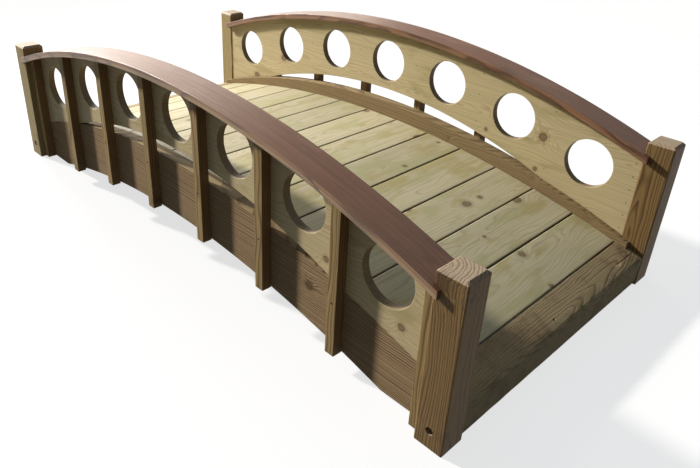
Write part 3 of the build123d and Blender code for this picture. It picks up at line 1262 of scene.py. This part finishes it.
class BRIDGE_OT_fixings(PieceOperator, bpy.types.Operator):
    """Add the corner posts' bolts, the side posts' screws and the panels' nails"""

    bl_idname = "bridge.fixings"
    bl_label = "Fixings"

    # Each as its sides, its radius, its height above the bottom of the hole, and its thickness
    washer = (32, 0.0118, 0.0, 0.0016)
    hexagon = (6, 0.0085, 0.0016, 0.0055)
    # Each as the radius and height of its head
    screw_head = (0.0042, 0.0009)
    nail_head = (0.0023, 0.0005)
    screw_drop = 0.036

    def build(self, context, sizes, lines):
        """Add a bolt to each post, and a set of screws and a set of nails to each side."""
        steel = [finish_of(context, "dull_steel")]
        bolt_x = (post_low.x + post_high.x) / 2
        bolt_y = post_high.y - sizes.bolt_hole_depth
        for side_name, side in SIDES.items():
            outward = Vector((0, side, 0))
            for end_name, end in ENDS.items():
                bm = bmesh.new()
                self.bolt(bm, Vector((end * bolt_x, side * bolt_y, sizes.bolt_height)), outward)
                add_piece(bm, f"bolt_{side_name}_{end_name}", steel)
            bm = bmesh.new()
            for x in lines.upright_xs[1:-1]:
                z = lines.beam_top.height(x) - self.screw_drop
                self.head(bm, Vector((x, side * upright_high.y, z)), outward, *self.screw_head)
            add_piece(bm, f"side_post_screws_{side_name}", steel)
            bm = bmesh.new()
            for x, z in self.nail_places(lines):
                self.head(bm, Vector((x, side * panel_low.y, z)), -outward, *self.nail_head)
            add_piece(bm, f"panel_nails_{side_name}", steel)

    def nail_places(self, lines):
        """Three nails up each side post, a little off its line, and a row at each panel end."""
        for x in lines.upright_xs[1:-1]:
            low, high = lines.panel_low(x), lines.rail_under.height(x)
            yield x + 0.004, high - 0.034
            yield x - 0.003, (low + high) / 2 + 0.02
            yield x + 0.002, low + 0.047
        for x in (lines.upright_xs[0], lines.upright_xs[-1]):
            low, high = lines.panel_low(x), lines.rail_under.height(x)
            for z in steps(low + 0.02, high - 0.03, 5):
                yield x, z

    def bolt(self, bm, seat, outward):
        """Hexagon bolt head on a washer at the bottom of a bored hole."""
        for sides, radius, base, thickness in (self.washer, self.hexagon):
            place = square_to(seat, outward) @ Matrix.Translation((0, 0, base))
            ring = bmesh.ops.create_circle(
                bm, cap_ends=True, segments=sides, radius=radius, matrix=place
            )["verts"]
            verts = grow(bm, [ring[0].link_faces[0]])[1]
            bmesh.ops.translate(bm, verts=verts, vec=thickness * outward)
        turn_outward(bm)
        ease(bm, 0.0004)

    def head(self, bm, spot, outward, radius, height):
        """Low domed head with a dimple, standing on a face."""
        place = square_to(spot, outward) @ Matrix.Diagonal((1, 1, height / radius, 1))
        made = bmesh.ops.create_uvsphere(
            bm, u_segments=16, v_segments=8, radius=radius, matrix=place
        )["verts"]
        crest = max(made, key=lambda vert: (vert.co - spot).dot(outward))
        bmesh.ops.translate(bm, verts=[crest], vec=-0.5 * height * outward)


def turn_along(direction):
    """Turn that points a lamp along a direction."""
    return Vector(direction).to_track_quat("-Z", "Y").to_euler()


class BRIDGE_OT_stage(bpy.types.Operator):
    """Set the floor, the light and the camera"""

    bl_idname = "bridge.stage"
    bl_label = "Floor, light and camera"

    # The camera stands where the photograph was taken, and its shift is that of the frame
    camera_place = (1.9526, -1.7819, 1.4325)
    camera_turn = (1.0901, -0.0320, 0.8133)
    camera_lens = 33.96
    camera_shift = (0.0476, -0.0569)
    # Name, way that the light travels, energy, spread in degrees, and tint
    suns = (
        ("key", (4.25, 1.15, -2.05), 6.45, 3.5, (1.0, 0.965, 0.9)),
        ("overhead", (0, 0, -1), 0.5, 110, (0.66, 0.83, 1.0)),
        ("glare", (0.9, -0.42, -0.14), 1.2, 48, (1.0, 0.93, 0.84)),
    )
    softbox_place = (-3.1, -0.1, 1.9)
    softbox_aim = (-0.7, 0.1, 0.4)
    softbox_size = 1.0
    softbox_energy = 62
    # The floor looks pale and keeps the shadow, but throws little light up at the bridge
    floor_seen = (0.9, 0.9, 0.9)
    floor_bounce = (0.07, 0.07, 0.07)
    floor_glow = 0.72
    # The sky looks white, shows less in reflections, and lights the bridge only faintly
    sky_sheen = 0.35
    sky_fill = 0.07
    sky_fill_tint = (0.9, 0.95, 1.0)

    def execute(self, context):
        self.floor(context)
        self.sky(context)
        for sun in self.suns:
            self.sun(context, *sun)
        self.softbox(context)
        self.camera(context)
        context.scene.view_settings.view_transform = "Standard"
        return {"FINISHED"}

    def add(self, context, name, data):
        """New object on the stage."""
        thing = bpy.data.objects.new(name, data)
        context.scene.collection.objects.link(thing)
        return thing

    def floor(self, context):
        """Wide pale floor that keeps the bridge's shadow."""
        bm = bmesh.new()
        bmesh.ops.create_grid(bm, x_segments=1, y_segments=1, size=30)
        mesh = bpy.data.meshes.new("floor")
        bm.to_mesh(mesh)
        bm.free()
        floor = self.add(context, "floor", mesh)
        material, surface = new_surface("floor_white")
        paths = surface.node("ShaderNodeLightPath")
        seen = paths["Is Camera Ray"] + paths["Is Glossy Ray"]
        tint = surface.blend(self.floor_bounce, self.floor_seen, seen)
        cloth = surface.node("ShaderNodeBsdfDiffuse", None, {"Color": tint})[0]
        glow = surface.node("ShaderNodeEmission", None, {"Color": opaque((1, 1, 1))})[0]
        parts = {0: seen * self.floor_glow, 1: cloth, 2: glow}
        shader = surface.node("ShaderNodeMixShader", None, parts)[0]
        surface.node("ShaderNodeOutputMaterial", None, {"Surface": shader})
        mesh.materials.append(material)

    def sky(self, context):
        """White world whose light on the bridge is kept low."""
        world = bpy.data.worlds.new("studio")
        context.scene.world = world
        surface = Surface(world)
        paths = surface.node("ShaderNodeLightPath")
        seen = paths["Is Camera Ray"] + paths["Is Glossy Ray"] * self.sky_sheen
        faint = {"Color": opaque(self.sky_fill_tint), "Strength": self.sky_fill}
        fill = surface.node("ShaderNodeBackground", None, faint)[0]
        plain = {"Color": opaque((1, 1, 1)), "Strength": 1}
        white = surface.node("ShaderNodeBackground", None, plain)[0]
        shader = surface.node("ShaderNodeMixShader", None, {0: seen, 1: fill, 2: white})[0]
        surface.node("ShaderNodeOutputWorld", None, {"Surface": shader})

    def sun(self, context, name, travels, energy, spread, tint):
        """Light from one direction, softer with a wider spread."""
        light = bpy.data.lights.new(name, "SUN")
        light.energy = energy
        light.angle = radians(spread)
        light.color = tint
        self.add(context, name, light).rotation_euler = turn_along(travels)

    def softbox(self, context):
        """Light the far left end more, as in the photograph."""
        light = bpy.data.lights.new("softbox", "AREA")
        light.size = self.softbox_size
        light.energy = self.softbox_energy
        softbox = self.add(context, "softbox", light)
        softbox.location = self.softbox_place
        softbox.rotation_euler = turn_along(Vector(self.softbox_aim) - softbox.location)

    def camera(self, context):
        """Camera at the photograph's viewing angle."""
        data = bpy.data.cameras.new("camera")
        data.lens = self.camera_lens
        data.sensor_width = 36
        data.shift_x, data.shift_y = self.camera_shift
        camera = self.add(context, "camera", data)
        camera.location = self.camera_place
        camera.rotation_euler = self.camera_turn
        context.scene.camera = camera


class BRIDGE_PT_pieces(bpy.types.Panel):
    """Lists the operators that build the bridge"""

    bl_idname = "BRIDGE_PT_pieces"
    bl_label = "Moon bridge"
    bl_space_type = "VIEW_3D"
    bl_region_type = "UI"
    bl_category = "Bridge"

    def draw(self, context):
        for operator in OPERATORS:
            self.layout.operator(operator.bl_idname)


OPERATORS = (
    BRIDGE_OT_corner_posts,
    BRIDGE_OT_handrails,
    BRIDGE_OT_moon_panels,
    BRIDGE_OT_stringers,
    BRIDGE_OT_side_posts,
    BRIDGE_OT_deck_boards,
    BRIDGE_OT_deck_bearers,
    BRIDGE_OT_end_beams,
    BRIDGE_OT_fixings,
    BRIDGE_OT_stage,
)
CLASSES = (BridgeSizes, BridgeColours, *OPERATORS, BRIDGE_PT_pieces)


def register():
    """Register the classes and give the scene its sizes and colours."""
    for each in CLASSES:
        bpy.utils.register_class(each)
    bpy.types.Scene.bridge_sizes = PointerProperty(type=BridgeSizes)
    bpy.types.Scene.bridge_colours = PointerProperty(type=BridgeColours)


def unregister():
    """Take the sizes, colours and classes away again."""
    del bpy.types.Scene.bridge_colours
    del bpy.types.Scene.bridge_sizes
    for each in reversed(CLASSES):
        bpy.utils.unregister_class(each)


def main():
    """Build the bridge and its stage."""
    # Without a seed, the noise would be another one in each run
    noise.seed_set(1)
    register()
    bpy.ops.bridge.corner_posts()
    bpy.ops.bridge.handrails()
    bpy.ops.bridge.moon_panels()
    bpy.ops.bridge.stringers()
    bpy.ops.bridge.side_posts()
    bpy.ops.bridge.deck_boards()
    bpy.ops.bridge.deck_bearers()
    bpy.ops.bridge.end_beams()
    bpy.ops.bridge.fixings()
    bpy.ops.bridge.stage()


if __name__ == "__main__":
    main()
